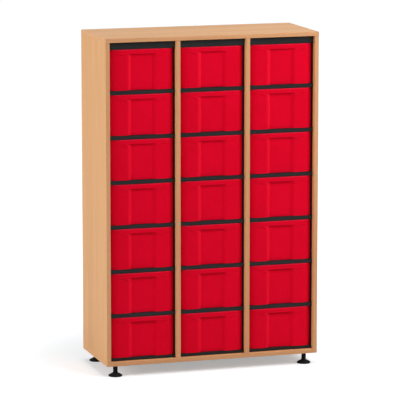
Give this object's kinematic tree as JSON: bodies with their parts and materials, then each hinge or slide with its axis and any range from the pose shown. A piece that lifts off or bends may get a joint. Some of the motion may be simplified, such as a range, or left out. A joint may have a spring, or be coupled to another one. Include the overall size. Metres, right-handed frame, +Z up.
{
  "type": "drawer cabinet",
  "caption": "Upright beech-decor cabinet on short adjustable feet, its bays filled with red moulded drawers that slide on black runner plates between black cross bars.",
  "frame": {"origin": "on the floor under the middle of the cabinet: the middle of the feet's undersides in X and Y, which is also the bottom centre of the box round the cabinet", "axes": "+Z up; -Y to the front, the way the drawers open; +X to the right of a person who faces the front"},
  "size_m": [0.95, 0.392, 1.458],
  "materials": {
    "beech_board": "beech decor melamine, satin",
    "beech_band": "beech decor edge band",
    "dowel_wood": "plain beech",
    "zinc_steel": "zinc plated",
    "runner_black": "moulded, fine texture",
    "foot_black": "moulded, fine texture",
    "drawer_red": "moulded, semi-gloss"
  },
  "bodies": {
    "carcass": {"top_panel": "beech_board", "bottom_panel": "beech_board", "side_panel_left": "beech_board", "side_panel_right": "beech_board", "divider_1": "beech_board", "divider_2": "beech_board", "back_panel": "beech_board", "edge_bands_top": "beech_band", "edge_bands_bottom": "beech_band", "edge_bands_sides": "beech_band", "edge_bands_dividers": "beech_band", "carcass_dowels": "dowel_wood", "cam_housings": "zinc_steel", "cam_bolts": "zinc_steel", "runner_screws": "zinc_steel", "back_screws": "zinc_steel", "runner_plates_1_left": "runner_black", "runner_plates_1_right": "runner_black", "cross_bars_1": "runner_black", "runner_plates_2_left": "runner_black", "runner_plates_2_right": "runner_black", "cross_bars_2": "runner_black", "runner_plates_3_left": "runner_black", "runner_plates_3_right": "runner_black", "cross_bars_3": "runner_black", "foot_insert_front_left": "zinc_steel", "foot_insert_front_right": "zinc_steel", "foot_insert_back_left": "zinc_steel", "foot_insert_back_right": "zinc_steel"},
    "drawer_1_1": {"drawer_1_1": "drawer_red"},
    "drawer_1_2": {"drawer_1_2": "drawer_red"},
    "drawer_1_3": {"drawer_1_3": "drawer_red"},
    "drawer_1_4": {"drawer_1_4": "drawer_red"},
    "drawer_1_5": {"drawer_1_5": "drawer_red"},
    "drawer_1_6": {"drawer_1_6": "drawer_red"},
    "drawer_1_7": {"drawer_1_7": "drawer_red"},
    "drawer_2_1": {"drawer_2_1": "drawer_red"},
    "drawer_2_2": {"drawer_2_2": "drawer_red"},
    "drawer_2_3": {"drawer_2_3": "drawer_red"},
    "drawer_2_4": {"drawer_2_4": "drawer_red"},
    "drawer_2_5": {"drawer_2_5": "drawer_red"},
    "drawer_2_6": {"drawer_2_6": "drawer_red"},
    "drawer_2_7": {"drawer_2_7": "drawer_red"},
    "drawer_3_1": {"drawer_3_1": "drawer_red"},
    "drawer_3_2": {"drawer_3_2": "drawer_red"},
    "drawer_3_3": {"drawer_3_3": "drawer_red"},
    "drawer_3_4": {"drawer_3_4": "drawer_red"},
    "drawer_3_5": {"drawer_3_5": "drawer_red"},
    "drawer_3_6": {"drawer_3_6": "drawer_red"},
    "drawer_3_7": {"drawer_3_7": "drawer_red"},
    "foot_front_left": {"foot_base_front_left": "foot_black"},
    "spindle_front_left": {"foot_spindle_front_left": "foot_black"},
    "foot_front_right": {"foot_base_front_right": "foot_black"},
    "spindle_front_right": {"foot_spindle_front_right": "foot_black"},
    "foot_back_left": {"foot_base_back_left": "foot_black"},
    "spindle_back_left": {"foot_spindle_back_left": "foot_black"},
    "foot_back_right": {"foot_base_back_right": "foot_black"},
    "spindle_back_right": {"foot_spindle_back_right": "foot_black"}
  },
  "joints": [
    {"name": "drawer_1_1_slide", "type": "slide", "parent": "carcass", "child": "drawer_1_1", "axis": [0, -1, 0], "range_m": [0, 0.301]},
    {"name": "drawer_1_2_slide", "type": "slide", "parent": "carcass", "child": "drawer_1_2", "axis": [0, -1, 0], "range_m": [0, 0.301]},
    {"name": "drawer_1_3_slide", "type": "slide", "parent": "carcass", "child": "drawer_1_3", "axis": [0, -1, 0], "range_m": [0, 0.301]},
    {"name": "drawer_1_4_slide", "type": "slide", "parent": "carcass", "child": "drawer_1_4", "axis": [0, -1, 0], "range_m": [0, 0.301]},
    {"name": "drawer_1_5_slide", "type": "slide", "parent": "carcass", "child": "drawer_1_5", "axis": [0, -1, 0], "range_m": [0, 0.301]},
    {"name": "drawer_1_6_slide", "type": "slide", "parent": "carcass", "child": "drawer_1_6", "axis": [0, -1, 0], "range_m": [0, 0.301]},
    {"name": "drawer_1_7_slide", "type": "slide", "parent": "carcass", "child": "drawer_1_7", "axis": [0, -1, 0], "range_m": [0, 0.301]},
    {"name": "drawer_2_1_slide", "type": "slide", "parent": "carcass", "child": "drawer_2_1", "axis": [0, -1, 0], "range_m": [0, 0.301]},
    {"name": "drawer_2_2_slide", "type": "slide", "parent": "carcass", "child": "drawer_2_2", "axis": [0, -1, 0], "range_m": [0, 0.301]},
    {"name": "drawer_2_3_slide", "type": "slide", "parent": "carcass", "child": "drawer_2_3", "axis": [0, -1, 0], "range_m": [0, 0.301]},
    {"name": "drawer_2_4_slide", "type": "slide", "parent": "carcass", "child": "drawer_2_4", "axis": [0, -1, 0], "range_m": [0, 0.301]},
    {"name": "drawer_2_5_slide", "type": "slide", "parent": "carcass", "child": "drawer_2_5", "axis": [0, -1, 0], "range_m": [0, 0.301]},
    {"name": "drawer_2_6_slide", "type": "slide", "parent": "carcass", "child": "drawer_2_6", "axis": [0, -1, 0], "range_m": [0, 0.301]},
    {"name": "drawer_2_7_slide", "type": "slide", "parent": "carcass", "child": "drawer_2_7", "axis": [0, -1, 0], "range_m": [0, 0.301]},
    {"name": "drawer_3_1_slide", "type": "slide", "parent": "carcass", "child": "drawer_3_1", "axis": [0, -1, 0], "range_m": [0, 0.301]},
    {"name": "drawer_3_2_slide", "type": "slide", "parent": "carcass", "child": "drawer_3_2", "axis": [0, -1, 0], "range_m": [0, 0.301]},
    {"name": "drawer_3_3_slide", "type": "slide", "parent": "carcass", "child": "drawer_3_3", "axis": [0, -1, 0], "range_m": [0, 0.301]},
    {"name": "drawer_3_4_slide", "type": "slide", "parent": "carcass", "child": "drawer_3_4", "axis": [0, -1, 0], "range_m": [0, 0.301]},
    {"name": "drawer_3_5_slide", "type": "slide", "parent": "carcass", "child": "drawer_3_5", "axis": [0, -1, 0], "range_m": [0, 0.301]},
    {"name": "drawer_3_6_slide", "type": "slide", "parent": "carcass", "child": "drawer_3_6", "axis": [0, -1, 0], "range_m": [0, 0.301]},
    {"name": "drawer_3_7_slide", "type": "slide", "parent": "carcass", "child": "drawer_3_7", "axis": [0, -1, 0], "range_m": [0, 0.301]},
    {"name": "foot_front_left_travel", "type": "slide", "parent": "carcass", "child": "foot_front_left", "axis": [0, 0, -1], "range_m": [0, 0.015]},
    {"name": "spindle_front_left_turn", "type": "hinge", "parent": "foot_front_left", "child": "spindle_front_left", "pos_m": [-0.428, -0.156, 0], "axis": [0, 0, 1], "range_deg": [0, 3600]},
    {"name": "foot_front_right_travel", "type": "slide", "parent": "carcass", "child": "foot_front_right", "axis": [0, 0, -1], "range_m": [0, 0.015]},
    {"name": "spindle_front_right_turn", "type": "hinge", "parent": "foot_front_right", "child": "spindle_front_right", "pos_m": [0.428, -0.156, 0], "axis": [0, 0, 1], "range_deg": [0, 3600]},
    {"name": "foot_back_left_travel", "type": "slide", "parent": "carcass", "child": "foot_back_left", "axis": [0, 0, -1], "range_m": [0, 0.015]},
    {"name": "spindle_back_left_turn", "type": "hinge", "parent": "foot_back_left", "child": "spindle_back_left", "pos_m": [-0.428, 0.156, 0], "axis": [0, 0, 1], "range_deg": [0, 3600]},
    {"name": "foot_back_right_travel", "type": "slide", "parent": "carcass", "child": "foot_back_right", "axis": [0, 0, -1], "range_m": [0, 0.015]},
    {"name": "spindle_back_right_turn", "type": "hinge", "parent": "foot_back_right", "child": "spindle_back_right", "pos_m": [0.428, 0.156, 0], "axis": [0, 0, 1], "range_deg": [0, 3600]}
  ],
  "couplings": [
    {"joint": "spindle_front_left_turn", "follows": "foot_front_left_travel", "rad_per_m": 4188.8},
    {"joint": "spindle_front_right_turn", "follows": "foot_front_right_travel", "rad_per_m": 4188.8},
    {"joint": "spindle_back_left_turn", "follows": "foot_back_left_travel", "rad_per_m": 4188.8},
    {"joint": "spindle_back_right_turn", "follows": "foot_back_right_travel", "rad_per_m": 4188.8}
  ]
}
